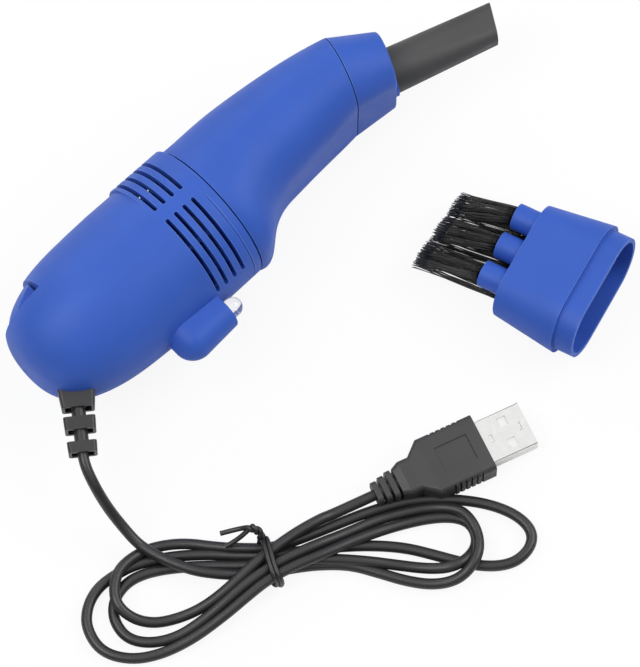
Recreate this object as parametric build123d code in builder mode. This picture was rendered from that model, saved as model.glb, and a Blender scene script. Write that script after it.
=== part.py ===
from build123d import *
import os
from math import atan2, cos, degrees, pi, radians, sin, sqrt, tan

# A USB keyboard vacuum cleaner lying on its side, with its brush head beside it and its cord in a hank.
# +X runs along the vacuum from tail to nozzle, +Y towards its switch, +Z up from the table.
# Lengths are millimetres and angles are degrees.

os.makedirs("parts", exist_ok=True)

# Place of the vacuum: the tail end of its axis, which lies one body radius above the table
TAIL_X = -76.0
AXIS_Y = 34.4

# Rear housing, a domed body of revolution in two half shells
BODY_RADIUS = 19.6
BODY_WALL = 1.8
DOME_LENGTH = 48.0
DOME_NOSE_POWER = 3.6
DOME_SHOULDER_POWER = 3.0
DOME_SHARES = (0.0, 0.004, 0.02, 0.06, 0.14, 0.28, 0.5, 0.75, 1.0)
REAR_LENGTH = 62.0
REAR_TAPER = 0.3
PARTING_GAP = 0.2
SEAM_GAP = 0.3
RIM_ROUND = 0.3
BAND_LENGTH = 2.4
BAND_GROOVE = 0.25

# Vent slots, in an upper and a lower group on each half shell
VENT_ROWS = 4
VENT_SETBACK = 14.0
VENT_PITCH = 2.85
VENT_WIDTH = 1.15
VENT_SPAN = 71.0
VENT_BACK_SPAN = 75.0
VENT_UPPER_EDGE = 13.0
VENT_LOWER_EDGE = -0.7
VENT_PAD_LIFT = 1.1
VENT_PAD_LENGTH = 15.6

# Ribs, bosses and screws inside the rear housing
RIB_THICKNESS = 1.6
RIB_INSETS = (1.0, 2.5)
COVER_SETBACK = 4.4
COVER_RIB_THICKNESS = 0.8
COVER_RIB_HEIGHT = 1.9
SCREW_EDGE = 4.8
BACK_SCREW_X = 28.0
BELLY_SCREW_X = 24.0
TAIL_SCREW = (10.5, -1.5)
BOSS_RADIUS = 2.5
SCREW_RADIUS = 1.0
SCREW_HEAD_RADIUS = 1.8
SCREW_HEAD_HEIGHT = 1.4
SCREW_HEAD_SEAT = 5.0
SCREW_REACH = 5.0
SCREW_CLEARANCE = 0.1

# Switch seat, thumb slider and slide switch
SEAT_DEPTH = 9.1
SEAT_FLOOR = 1.4
STEP_X = 14.5
SLIDER_GAP = 0.7
SLIDER_INSET = 0.9
SLIDER_LIFT = 0.1
SLIDER_WIDTH = 17.0
SLIDER_TRAVEL = 2.5
SLIDER_TAB_X = 9.6
SLIDER_TAB = (1.6, 3.0)
SWITCH_BODY = (9.0, 3.6, 4.0)
SWITCH_KNOB_SLOT = 0.8

# Lamp pod and lamp
POD_RADIUS = 5.4
POD_DROP = 2.4
POD_REAR_X = 30.4
POD_FRONT_X = 47.3
POD_NOSE = 5.6
POD_FRONT_RADIUS = 4.6
LAMP_DROP = 2.9
LAMP_RADIUS = 2.5
LAMP_FLANGE_RADIUS = 2.9
LAMP_FLANGE = 1.0
LAMP_REACH = 4.2
LAMP_FIT = 0.06
LEAD_RADIUS = 0.25
LEAD_SPACING = 2.54
LEAD_LENGTH = 8.0

# Motor, fan, fan cover and filter
MOTOR_X = 19.0
MOTOR_LENGTH = 24.0
MOTOR_RADIUS = 12.0
MOTOR_WALL = 1.0
MOTOR_FIT = 0.06
BEARING_RADIUS = 4.0
BEARING_LENGTH = 2.0
END_CAP_THICKNESS = 2.2
MAGNET_THICKNESS = 2.2
MAGNET_LENGTH = 18.0
MAGNET_ARC = 130.0
ARMATURE_RADIUS = 8.2
ARMATURE_LENGTH = 16.0
ARMATURE_SLOTS = 3
SHAFT_RADIUS = 1.0
SHAFT_FIT = 0.05
FAN_LENGTH = 10.6
FAN_GAP = 0.8
FAN_RIM_GAP = 2.5
FAN_HUB_RADIUS = 3.2
FAN_PLATE = 1.2
FAN_BLADES = 9
FAN_BLADE_THICKNESS = 1.0
COVER_THICKNESS = 1.4
COVER_INLET_RADIUS = 8.5
FILTER_FLANGE = 2.2
FILTER_SPIGOT = 3.0
FILTER_SPIGOT_FIT = 0.6
FILTER_WALL = 2.7
FILTER_SPOKE = 1.4
FILTER_LEDGE = 1.2
CLOTH_THICKNESS = 0.8
INNER_FIT = 0.06

# Front shell: its back and belly outlines between the round seam and the oblique mouth, as distances in front
# of the rear housing and in from the rim
FRONT_WALL = 1.3
SEAM_STEP = 0.1
FRONT_BACK_LINE = ((4.5, 0.5), (11.6, 0.8), (17.0, 1.2), (26.0, 2.3), (39.0, 4.4))
FRONT_BELLY_LINE = ((4.5, 0.7), (7.6, 3.2), (10.8, 5.9), (15.0, 8.3), (22.0, 9.7), (31.5, 10.7))
FRONT_STEPS = 10
FRONT_INNER_STEPS = 8

# The oblique mouth, shared by the collar and the brush head, from the seam
MOUTH_REACH = 47.2
MOUTH_Y = 2.35
MOUTH_TILT = 17.0
MOUTH_HEIGHT = 20.3
MOUTH_WIDTH = 36.5
MOUTH_CORNER = 10.0
SPIGOT_STEP = 1.1
SPIGOT_LENGTH = 5.4
SPIGOT_WALL = 1.1
SPIGOT_FIT = 0.1
SOCKET_END_GAP = 0.2
SOCKET_LEDGE = 0.7

# Nozzle collar and rubber nozzle, their places from the middle of the mouth
COLLAR_FRONT = (12.1, -4.45)
COLLAR_FRONT_TILT = 22.0
COLLAR_FRONT_HEIGHT = 15.4
COLLAR_FRONT_WIDTH = 27.0
COLLAR_FRONT_CORNER = 7.4
COLLAR_ROUND = 1.0
NOZZLE_ROOT = (11.8, -5.3)
NOZZLE_TILT = 16.7
NOZZLE_ROOT_SIZE = 12.0
NOZZLE_RING_RADIUS = 6.6
NOZZLE_RING_REACH = 0.1
NOZZLE_BURIED = 6.7
NOZZLE_FLANGE = 1.2
NOZZLE_FLANGE_RADIUS = 6.7
NOZZLE_LENGTH = 30.1
NOZZLE_TIP_HEIGHT = 10.4
NOZZLE_TIP_WIDTH = 7.2
NOZZLE_TIP_CORNER = 2.6
NOZZLE_WALL = 1.0
NOZZLE_FIT = 0.08
NOZZLE_CUT = 14.0

# Brush head, lying on its lower flank
BRUSH_RIM = (43.3, -42.7)
BRUSH_HEADING = -72.1
BRUSH_DEPTH = 17.8
BRUSH_REAR_WIDTH = 31.7
BRUSH_REAR_HEIGHT = 16.0
BRUSH_REAR_CORNER = 7.6
BRUSH_WALL = 1.2
BRUSH_BACK = 4.2
TUFT_PITCH = 8.8
TUFT_ROWS = 7.4
TUFTS_IN_ROW = 3
TUFT_BOSS_RADIUS = 3.5
UPPER_BOSS = 6.2
LOWER_BOSS = 1.0
TUFT_RADIUS = 2.5
TUFT_SEAT = 3.0
TUFT_FIT = 0.05
BRISTLE_TIP = 24.0
BRISTLE_SLANT = 0.17
BRISTLE_SPREAD = 1.5
BRISTLE_LEAN = 3.0
LOWER_ROW_LIFT = 1.5
BRISTLES_IN_TUFT = 66
BRISTLE_SIZE = 0.26

# Cord gland at the rear belly
CORD_DIAMETER = 2.65
GLAND_X = 5.6
GLAND_SINK = 2.05
GLAND_HEADING = -126.6
GLAND_NECK_RADIUS = 2.8
GLAND_FLANGE_RADIUS = 4.0
GLAND_FLANGE = 1.6
GLAND_NECK_DEPTH = 4.5
GLAND_CORE_RADIUS = 1.8
GLAND_FIT = 0.1
# Each block of the gland: start, length, widths at its ends and its thickness ratio
GLAND_BLOCKS = ((-2.5, 7.7, 10.0, 8.2), (7.7, 3.4, 8.1, 7.8), (14.2, 2.9, 7.5, 7.2))
GLAND_FLATNESS = 0.62
GLAND_CORNER = 0.9
GLAND_POCKET = (1.5, 1.6)
GLAND_POCKET_WALL = 0.8

# Plug, lying on the table
PLUG_ROOT = (-2.7, -53.9)
PLUG_HEADING = -17.5
GRIP_WIDTH = 15.8
GRIP_HEIGHT = 8.0
GRIP_LENGTH = 15.4
GRIP_ROUND = 1.4
SHOULDER_LENGTH = 3.6
NECK_WIDTH = 9.4
NECK_HEIGHT = 7.4
NECK_LENGTH = 2.9
NECK_TAPER = 2.0
RELIEF_WIDTH = 7.6
RELIEF_HEIGHT = 6.4
RELIEF_END = 0.78
RELIEF_RIBS = 3
RELIEF_RIB = 1.4
RELIEF_GROOVE = 0.7
RELIEF_CORE_RADIUS = 2.0
GRIP_RECESS = (9.0, 7.0, 0.35)
GRIP_RIDGES = 6
GRIP_RIDGE_PITCH = 1.5
GRIP_RIDGE_CUT = (0.6, 0.5)
SHELL_WIDTH = 12.0
SHELL_HEIGHT = 4.5
SHELL_LENGTH = 12.4
SHELL_WALL = 0.3
SHELL_BURIED = 4.0
SHELL_CORNER = 0.6
SHELL_WINDOW = 2.4
SHELL_WINDOW_SPACING = 6.0
SHELL_WINDOW_X = 6.8
SPRING_PLACES = (2.4, 10.2)
SPRING_SIZE = (0.9, 2.2)
SPRING_SLOT = 0.25
TONGUE_HEIGHT = 1.8
TONGUE_RECESS = 0.8
CONTACT = (8.0, 1.0, 0.2)
CONTACT_PITCH = 2.3

# Hank: waist, heading and layers of the figure of eight, then the twist tie round the waist
HANK_WAIST = (-63.2, -40.1)
HANK_HEADING = -32.0
STRAND_PITCH = 3.4
STRAND_GAP = 0.55
TABLE_GAP = 0.025
LOOP_FULLNESS = 0.5
LOOP_STEPS = 16
TIE_THICKNESS = 0.7
TIE_WIDTH = 2.0
TIE_CLEARANCE = 0.3
TIE_CORNER = 2.2
TIE_TAIL_RADIUS = 0.55
TIE_TAILS = ((-10.7, 9.6, 6.5), (-9.9, 6.6, 6.7))

# Free lead: the run out of the gland, its bends, and its end beside the hank
LEAD_FIRST_RUN = 12.0
LEAD_BENDS = ((-87.6, -7.5, 7.0), (-82.4, -10.6, 1.35))
LEAD_LAST_RUN = 8.5
HANK_START = (-16.0, 9.0)
HANK_START_SLOPE = -0.34


def save(piece, name):
    """Label a finished piece and write it under its name."""
    piece.part.label = name
    export_step(piece.part, f"parts/{name}.step")


# Sizes that follow from others
REAR_RIM_RADIUS = BODY_RADIUS - REAR_TAPER
FRONT_RIM_RADIUS = REAR_RIM_RADIUS - SEAM_STEP
COVER_RIB_X = REAR_LENGTH - COVER_SETBACK
COVER_RIB_RADIUS = REAR_RIM_RADIUS - BODY_WALL - COVER_RIB_HEIGHT
VENT_FIRST_X = REAR_LENGTH - VENT_SETBACK
RIB_PLACES = (MOTOR_X + RIB_INSETS[0], MOTOR_X + MOTOR_LENGTH - RIB_INSETS[1])
SCREW_Y = BODY_RADIUS - SCREW_EDGE
SCREW_PLACES = ((BACK_SCREW_X, SCREW_Y), (BELLY_SCREW_X, -SCREW_Y), TAIL_SCREW)
SEAT_Y = BODY_RADIUS - SEAT_DEPTH
POD_Y = -BODY_RADIUS - POD_DROP
LAMP_Y = -BODY_RADIUS - LAMP_DROP
FAN_X = COVER_RIB_X - FAN_GAP - FAN_LENGTH
FAN_RADIUS = REAR_RIM_RADIUS - BODY_WALL - FAN_RIM_GAP
FILTER_SPIGOT_RADIUS = FRONT_RIM_RADIUS - FRONT_WALL - FILTER_SPIGOT_FIT
FILTER_BORE = FILTER_SPIGOT_RADIUS - FILTER_WALL
MOUTH_CENTRE = (REAR_LENGTH + MOUTH_REACH, MOUTH_Y)
SPIGOT_HEIGHT = MOUTH_HEIGHT - 2 * SPIGOT_STEP
SPIGOT_WIDTH = MOUTH_WIDTH - 2 * SPIGOT_STEP
SPIGOT_CORNER = MOUTH_CORNER - SPIGOT_STEP

# Planes of the vacuum: its side outline lies in the horizontal plane of symmetry
AXIS_Z = BODY_RADIUS
side_plane = Plane(origin=(TAIL_X, AXIS_Y, AXIS_Z))
body_axis = Axis((TAIL_X, AXIS_Y, AXIS_Z), (1, 0, 0))


def row_point(x, y, z=0.0):
    """A point of the side outline, as a row point."""
    return Vector(TAIL_X + x, AXIS_Y + y, AXIS_Z + z)


def cross_plane(x, y=0.0, tilt=0.0):
    """A plane across the side outline: local x towards the back, local y up, leaning to the belly."""
    turn = radians(tilt)
    return Plane(row_point(x, y), x_dir=(sin(turn), cos(turn), 0), z_dir=(cos(turn), -sin(turn), 0))


def heading_vector(angle):
    """Unit vector at an angle in the table plane."""
    return Vector(cos(radians(angle)), sin(radians(angle)), 0)


# Rear housing

def dome_radius(share):
    """Radius of the domed tail at a share of its length."""
    nose = 1.0 - (1.0 - share) ** DOME_NOSE_POWER
    return BODY_RADIUS * nose ** (1.0 / DOME_SHOULDER_POWER)


def dome_outline(inset):
    """Points along the domed tail, a given distance inside its skin."""
    skin_points = [Vector(DOME_LENGTH * share, dome_radius(share)) for share in DOME_SHARES]
    skin = Edge.make_spline(skin_points, tangents=[Vector(0, 1, 0), Vector(1, 0, 0)])
    inner_points = []
    for point in skin_points:
        along = skin.tangent_at(skin.param_at_point(point))
        inner_points.append(point + Vector(along.Y, -along.X, 0) * inset)
    return [(point.X, point.Y) for point in inner_points]


def rear_solid(inset, front_x):
    """The rear body of revolution, a given distance inside its skin, up to a front plane."""
    points = dome_outline(inset)
    with BuildPart() as body:
        with BuildSketch(side_plane):
            with BuildLine():
                dome = Spline(*points, tangents=((0, 1), (1, 0)))
                Polyline(dome @ 1, (front_x, REAR_RIM_RADIUS - inset), (front_x, 0), dome @ 0)
            make_face()
        revolve(axis=body_axis)
    return body.part


rear_skin = rear_solid(0.0, REAR_LENGTH)
rear_middle = rear_solid(BODY_WALL / 2, REAR_LENGTH)
rear_hollow = rear_solid(BODY_WALL, REAR_LENGTH)

# The pod is a rounded nose drawn up into the belly
with BuildPart() as pod:
    with BuildSketch(Plane(row_point(0, POD_Y))) as pod_side:
        with BuildLine():
            nose_arc = EllipticalCenterArc((POD_REAR_X + POD_NOSE, 0), POD_NOSE, POD_RADIUS, 90)
            Polyline(nose_arc @ 0, (POD_FRONT_X, POD_FRONT_RADIUS), (POD_FRONT_X, 0), nose_arc @ 1)
        make_face()
    revolve(axis=Axis(row_point(0, POD_Y), (1, 0, 0)))
    with BuildSketch(Plane(row_point(0, POD_Y), x_dir=(1, 0, 0), z_dir=(0, 1, 0))):
        add(pod_side.sketch_local)
        mirror(about=Plane.XZ)
    extrude(amount=-POD_Y - BODY_RADIUS / 2)
    pod_front = pod.faces().filter_by(Axis.X).sort_by(Axis.X)[-1]
    fillet(pod_front.edges(), radius=0.7)

# Floor under the switch seat: the hollow stops short of it
with BuildPart() as rear_space:
    add(rear_hollow)
    with BuildSketch(side_plane):
        with Locations((0, SEAT_Y - SEAT_FLOOR)):
            Rectangle(STEP_X + BODY_WALL, BODY_RADIUS, align=(Align.MIN, Align.MIN))
    extrude(amount=BODY_RADIUS, both=True, mode=Mode.SUBTRACT)

# Ribs round the motor, a seat for the fan cover and the screw bosses, trimmed to the wall
with BuildPart() as inner_frame:
    for rib_x in RIB_PLACES:
        with BuildSketch(cross_plane(rib_x)):
            Circle(BODY_RADIUS)
        extrude(amount=RIB_THICKNESS)
    with BuildSketch(side_plane):
        with Locations(*SCREW_PLACES):
            Circle(BOSS_RADIUS)
    extrude(amount=BODY_RADIUS, both=True)
    with BuildSketch(cross_plane(MOTOR_X - END_CAP_THICKNESS)):
        Circle(MOTOR_RADIUS + MOTOR_FIT)
    extrude(amount=REAR_LENGTH, mode=Mode.SUBTRACT)
    with BuildSketch(cross_plane(COVER_RIB_X)):
        Circle(BODY_RADIUS)
        Circle(COVER_RIB_RADIUS, mode=Mode.SUBTRACT)
    extrude(amount=COVER_RIB_THICKNESS)
    add(rear_middle, mode=Mode.INTERSECT)


def vent_plane(angle):
    """A plane through the body axis, with local y out at an angle from +Z towards the back."""
    turn = radians(angle)
    return Plane(row_point(0, 0), x_dir=(1, 0, 0), z_dir=(0, -cos(turn), sin(turn)))


vent_places = [(VENT_FIRST_X + row * VENT_PITCH, BODY_RADIUS) for row in range(VENT_ROWS)]
with BuildPart() as vents:
    for start, span in ((VENT_UPPER_EDGE + VENT_BACK_SPAN, VENT_BACK_SPAN), (VENT_LOWER_EDGE, VENT_SPAN)):
        with BuildSketch(vent_plane(start)):
            with Locations(*vent_places):
                Rectangle(VENT_WIDTH, 2 * BODY_WALL + 1)
        revolve(axis=body_axis, revolution_arc=span)
        for end in (start, start - span):
            out = Vector(0, sin(radians(end)), cos(radians(end)))
            with BuildSketch(Plane(row_point(0, 0) + out * (BODY_RADIUS - BODY_WALL - 0.5), (1, 0, 0), out)):
                with Locations(*[(x, 0) for x, radius in vent_places]):
                    Circle(VENT_WIDTH / 2)
            extrude(amount=2 * BODY_WALL)
    mirror(about=side_plane)

gland_out = heading_vector(GLAND_HEADING)
gland_point = row_point(GLAND_X, GLAND_SINK - dome_radius(GLAND_X / DOME_LENGTH))


def gland_plane(distance):
    """A plane across the gland, with local y up."""
    return Plane(gland_point + gland_out * distance, x_dir=heading_vector(GLAND_HEADING + 90), z_dir=gland_out)


lamp_axis = Axis(row_point(0, LAMP_Y), (1, 0, 0))
lamp_base_x = POD_FRONT_X - LAMP_FLANGE - BODY_WALL / 2

with BuildPart() as rear_shell:
    add(rear_skin)
    rim_edge = rear_shell.edges().filter_by(GeomType.CIRCLE).sort_by(Axis.X)[-1]
    fillet(rim_edge, radius=RIM_ROUND)
    with BuildSketch(side_plane):
        with Locations((REAR_LENGTH - BAND_LENGTH, REAR_RIM_RADIUS)):
            Rectangle(BAND_GROOVE, 2 * BAND_GROOVE, rotation=45)
    revolve(axis=body_axis, mode=Mode.SUBTRACT)
    # Raised crescent at the back, which the vent slots cut into bars
    with BuildSketch(cross_plane(REAR_LENGTH - VENT_PAD_LENGTH, VENT_PAD_LIFT)):
        Circle(REAR_RIM_RADIUS)
    extrude(amount=VENT_PAD_LENGTH - RIM_ROUND)
    add(pod.part)
    with BuildSketch(side_plane):
        with Locations((-1, SEAT_Y)):
            Rectangle(STEP_X + 1, BODY_RADIUS, align=(Align.MIN, Align.MIN))
    extrude(amount=BODY_RADIUS, both=True, mode=Mode.SUBTRACT)
    add(rear_space.part, mode=Mode.SUBTRACT)
    add(inner_frame.part)
    add(vents.part, mode=Mode.SUBTRACT)
    # Pocket for the lamp, open to the hollow behind it
    with BuildSketch(side_plane):
        with Locations((lamp_base_x - LEAD_LENGTH - 1, LAMP_Y)):
            Rectangle(LEAD_LENGTH + 1 + LAMP_FLANGE, LAMP_FLANGE_RADIUS + LAMP_FIT, align=Align.MIN)
            Rectangle(LEAD_LENGTH + BODY_RADIUS, LAMP_RADIUS + LAMP_FIT, align=Align.MIN)
    revolve(axis=lamp_axis, mode=Mode.SUBTRACT)
    with BuildSketch(side_plane):
        with Locations((lamp_base_x - LEAD_LENGTH, LAMP_Y)):
            Rectangle(3, -LAMP_Y - BODY_RADIUS + 2 * BODY_WALL, align=Align.MIN)
    extrude(amount=1.5, both=True, mode=Mode.SUBTRACT)
    # Hole for the cord gland
    with BuildSketch(gland_plane(-GLAND_NECK_DEPTH)):
        Circle(GLAND_NECK_RADIUS + GLAND_FIT)
    extrude(amount=GLAND_NECK_DEPTH * 3, mode=Mode.SUBTRACT)
    # Slot in the switch seat for the slider's tab
    with BuildSketch(Plane(row_point(0, SEAT_Y), x_dir=(1, 0, 0), z_dir=(0, 1, 0))):
        with Locations((SLIDER_TAB_X - SLIDER_TRAVEL / 2, 0)):
            Rectangle(SLIDER_TAB[0] + SLIDER_TRAVEL + 0.4, SLIDER_TAB[1] + 0.4)
    extrude(amount=2 * SEAT_FLOOR, both=True, mode=Mode.SUBTRACT)
    split(bisect_by=Plane(row_point(REAR_LENGTH, 0), z_dir=(1, 0, 0)), keep=Keep.BOTTOM)

screw_head_face = Plane(row_point(0, 0, -SCREW_HEAD_SEAT))

with BuildPart() as rear_shell_left:
    add(rear_shell.part)
    split(bisect_by=side_plane.offset(PARTING_GAP / 2), keep=Keep.TOP)
    with BuildSketch(side_plane):
        with Locations(*SCREW_PLACES):
            Circle(SCREW_RADIUS + SCREW_CLEARANCE / 2)
    extrude(amount=SCREW_REACH + 1, mode=Mode.SUBTRACT)
save(rear_shell_left, "rear_shell_left")

with BuildPart() as rear_shell_right:
    add(rear_shell.part)
    split(bisect_by=side_plane.offset(-PARTING_GAP / 2), keep=Keep.BOTTOM)
    with BuildSketch(screw_head_face):
        with Locations(*SCREW_PLACES):
            Circle(SCREW_HEAD_RADIUS + SCREW_CLEARANCE)
    extrude(amount=-BODY_RADIUS, mode=Mode.SUBTRACT)
    with BuildSketch(screw_head_face):
        with Locations(*SCREW_PLACES):
            Circle(SCREW_RADIUS + SCREW_CLEARANCE)
    extrude(amount=BODY_RADIUS, mode=Mode.SUBTRACT)
save(rear_shell_right, "rear_shell_right")

with BuildPart() as shell_screws:
    with BuildSketch(screw_head_face):
        with Locations(*SCREW_PLACES):
            Circle(SCREW_RADIUS)
    extrude(amount=SCREW_HEAD_SEAT + SCREW_REACH)
    with BuildSketch(screw_head_face):
        with Locations(*SCREW_PLACES):
            Circle(SCREW_HEAD_RADIUS)
    extrude(amount=-SCREW_HEAD_HEIGHT)
    with BuildSketch(screw_head_face.offset(-SCREW_HEAD_HEIGHT)):
        with Locations(*SCREW_PLACES):
            Rectangle(1.8, 0.45)
            Rectangle(0.45, 1.8)
    extrude(amount=0.7, mode=Mode.SUBTRACT)
save(shell_screws, "shell_screws")

# Thumb slider and the slide switch under it

slider_skin = rear_solid(SLIDER_INSET, REAR_LENGTH)
slider_front_x = STEP_X - SLIDER_GAP

with BuildPart() as power_slider:
    add(slider_skin)
    with BuildSketch(side_plane):
        with Locations((0, SEAT_Y + SLIDER_LIFT)):
            Rectangle(slider_front_x, BODY_RADIUS, align=(Align.MIN, Align.MIN))
    extrude(amount=SLIDER_WIDTH / 2, both=True, mode=Mode.INTERSECT)
    with BuildSketch(Plane(row_point(0, SEAT_Y + SLIDER_LIFT + 0.5), x_dir=(1, 0, 0), z_dir=(0, -1, 0))):
        with Locations((SLIDER_TAB_X, 0)):
            Rectangle(*SLIDER_TAB)
    extrude(amount=SEAT_FLOOR + SLIDER_LIFT + 0.5 + SWITCH_KNOB_SLOT)
save(power_slider, "power_slider")

switch_top = SEAT_Y - SEAT_FLOOR
with BuildPart() as slide_switch:
    with BuildSketch(Plane(row_point(0, switch_top), x_dir=(1, 0, 0), z_dir=(0, -1, 0))):
        with Locations((SLIDER_TAB_X - SLIDER_TRAVEL / 2, 0)):
            Rectangle(SWITCH_BODY[0], SWITCH_BODY[2])
    extrude(amount=SWITCH_BODY[1])
    with BuildSketch(Plane(row_point(0, switch_top), x_dir=(1, 0, 0), z_dir=(0, -1, 0))):
        with Locations((SLIDER_TAB_X - SLIDER_TRAVEL / 2, 0)):
            Rectangle(SLIDER_TAB[0] + SLIDER_TRAVEL + 0.4, SLIDER_TAB[1] + 0.4)
    extrude(amount=SWITCH_KNOB_SLOT + 0.3, mode=Mode.SUBTRACT)
    with BuildSketch(Plane(row_point(0, switch_top - SWITCH_BODY[1]), x_dir=(1, 0, 0), z_dir=(0, -1, 0))):
        with Locations((SLIDER_TAB_X - SLIDER_TRAVEL / 2, 0)):
            with GridLocations(LEAD_SPACING, 1, 3, 1):
                Rectangle(0.8, 0.4)
    extrude(amount=2.4)
save(slide_switch, "slide_switch")

# Lamp and its leads

with BuildPart() as lamp_led:
    with BuildSketch(side_plane):
        with BuildLine():
            dome_start = POD_FRONT_X + LAMP_REACH - LAMP_RADIUS
            dome_arc = CenterArc((dome_start, LAMP_Y), LAMP_RADIUS, 0, 90)
            Polyline(
                dome_arc @ 1,
                (lamp_base_x + LAMP_FLANGE, LAMP_Y + LAMP_RADIUS),
                (lamp_base_x + LAMP_FLANGE, LAMP_Y + LAMP_FLANGE_RADIUS),
                (lamp_base_x, LAMP_Y + LAMP_FLANGE_RADIUS),
                (lamp_base_x, LAMP_Y),
                dome_arc @ 0,
            )
        make_face()
    revolve(axis=lamp_axis)
save(lamp_led, "lamp_led")

with BuildPart() as lamp_leads:
    with BuildSketch(cross_plane(lamp_base_x, LAMP_Y)):
        with GridLocations(1, LEAD_SPACING, 1, 2):
            Circle(LEAD_RADIUS)
    extrude(amount=-LEAD_LENGTH)
save(lamp_leads, "lamp_leads")

# Motor, fan, fan cover and filter

motor_front_x = MOTOR_X + MOTOR_LENGTH
magnet_x = MOTOR_X + (MOTOR_LENGTH - MAGNET_LENGTH) / 2

with BuildPart() as motor_can:
    with BuildSketch(cross_plane(MOTOR_X)):
        Circle(MOTOR_RADIUS)
    extrude(amount=MOTOR_LENGTH)
    with BuildSketch(cross_plane(MOTOR_X)):
        Circle(MOTOR_RADIUS - MOTOR_WALL)
    extrude(amount=MOTOR_LENGTH - MOTOR_WALL, mode=Mode.SUBTRACT)
    with BuildSketch(cross_plane(motor_front_x)):
        Circle(BEARING_RADIUS)
    extrude(amount=BEARING_LENGTH)
    with BuildSketch(cross_plane(MOTOR_X)):
        Circle(SHAFT_RADIUS + SHAFT_FIT)
    extrude(amount=MOTOR_LENGTH + BEARING_LENGTH, mode=Mode.SUBTRACT)
save(motor_can, "motor_can")

with BuildPart() as motor_end_cap:
    with BuildSketch(cross_plane(MOTOR_X)):
        Circle(MOTOR_RADIUS)
        Circle(SHAFT_RADIUS + SHAFT_FIT, mode=Mode.SUBTRACT)
    extrude(amount=-END_CAP_THICKNESS)
    with BuildSketch(cross_plane(MOTOR_X - END_CAP_THICKNESS)):
        with GridLocations(1, 2 * MOTOR_RADIUS - 8, 1, 2):
            Rectangle(2.0, 0.5)
    extrude(amount=-1.6)
save(motor_end_cap, "motor_end_cap")

with BuildPart() as motor_magnets:
    for start in (90 - MAGNET_ARC / 2, 270 - MAGNET_ARC / 2):
        with BuildSketch(vent_plane(start + MAGNET_ARC)):
            with Locations((magnet_x, MOTOR_RADIUS - MOTOR_WALL - MAGNET_THICKNESS)):
                Rectangle(MAGNET_LENGTH, MAGNET_THICKNESS, align=Align.MIN)
        revolve(axis=body_axis, revolution_arc=MAGNET_ARC)
save(motor_magnets, "motor_magnets")

with BuildPart() as motor_armature:
    with BuildSketch(cross_plane(MOTOR_X + (MOTOR_LENGTH - ARMATURE_LENGTH) / 2)):
        Circle(ARMATURE_RADIUS)
        with PolarLocations(ARMATURE_RADIUS, ARMATURE_SLOTS):
            SlotOverall(7.0, 2.4, mode=Mode.SUBTRACT)
        Circle(SHAFT_RADIUS, mode=Mode.SUBTRACT)
    extrude(amount=ARMATURE_LENGTH)
save(motor_armature, "motor_armature")

with BuildPart() as motor_shaft:
    with BuildSketch(cross_plane(MOTOR_X - END_CAP_THICKNESS)):
        Circle(SHAFT_RADIUS)
    extrude(amount=FAN_X + FAN_LENGTH - MOTOR_X + END_CAP_THICKNESS - 1)
save(motor_shaft, "motor_shaft")

with BuildPart() as impeller:
    with BuildSketch(cross_plane(FAN_X)):
        Circle(FAN_RADIUS)
    extrude(amount=FAN_PLATE)
    with BuildSketch(cross_plane(FAN_X)):
        Circle(FAN_HUB_RADIUS)
    extrude(amount=FAN_LENGTH)
    with BuildSketch(cross_plane(FAN_X)):
        with PolarLocations(0, FAN_BLADES):
            with Locations((FAN_HUB_RADIUS / 2, 0)):
                Rectangle(FAN_RADIUS - FAN_HUB_RADIUS / 2 - 0.3, FAN_BLADE_THICKNESS, align=(Align.MIN, Align.CENTER))
    extrude(amount=FAN_LENGTH - 0.8)
    with BuildSketch(cross_plane(FAN_X)):
        Circle(SHAFT_RADIUS)
    extrude(amount=FAN_LENGTH - 1, mode=Mode.SUBTRACT)
save(impeller, "impeller")

cover_x = COVER_RIB_X + COVER_RIB_THICKNESS
filter_x = cover_x + COVER_THICKNESS
seat_radius = REAR_RIM_RADIUS - BODY_WALL - INNER_FIT
with BuildPart() as fan_cover:
    with BuildSketch(cross_plane(cover_x)):
        Circle(seat_radius)
        Circle(COVER_INLET_RADIUS, mode=Mode.SUBTRACT)
    extrude(amount=COVER_THICKNESS)
save(fan_cover, "fan_cover")

filter_front_x = REAR_LENGTH + FILTER_SPIGOT
with BuildPart() as filter_frame:
    with BuildSketch(cross_plane(filter_x)):
        Circle(seat_radius)
    extrude(amount=REAR_LENGTH - filter_x)
    with BuildSketch(cross_plane(filter_x)):
        Circle(FILTER_SPIGOT_RADIUS)
    extrude(amount=filter_front_x - filter_x)
    with BuildSketch(cross_plane(filter_x)):
        Circle(FILTER_BORE)
    extrude(amount=filter_front_x - filter_x, mode=Mode.SUBTRACT)
    with BuildSketch(cross_plane(filter_x + CLOTH_THICKNESS)):
        Circle(FILTER_BORE + 0.5)
        Circle(FILTER_BORE - FILTER_LEDGE, mode=Mode.SUBTRACT)
        with PolarLocations(0, 2, 0, 180):
            Rectangle(2 * FILTER_BORE + 0.5, FILTER_SPOKE)
    extrude(amount=FILTER_LEDGE)
save(filter_frame, "filter_frame")

with BuildPart() as filter_cloth:
    with BuildSketch(cross_plane(filter_x)):
        Circle(FILTER_BORE - INNER_FIT)
    extrude(amount=CLOTH_THICKNESS)
save(filter_cloth, "filter_cloth")

# Front shell: a loft from the round seam to the oblique oval mouth

nose_out = Vector(cos(radians(MOUTH_TILT)), -sin(radians(MOUTH_TILT)), 0)


def mouth_plane(distance):
    """A plane parallel to the mouth, a given distance in front of it."""
    return cross_plane(*MOUTH_CENTRE, MOUTH_TILT).offset(distance)


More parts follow.
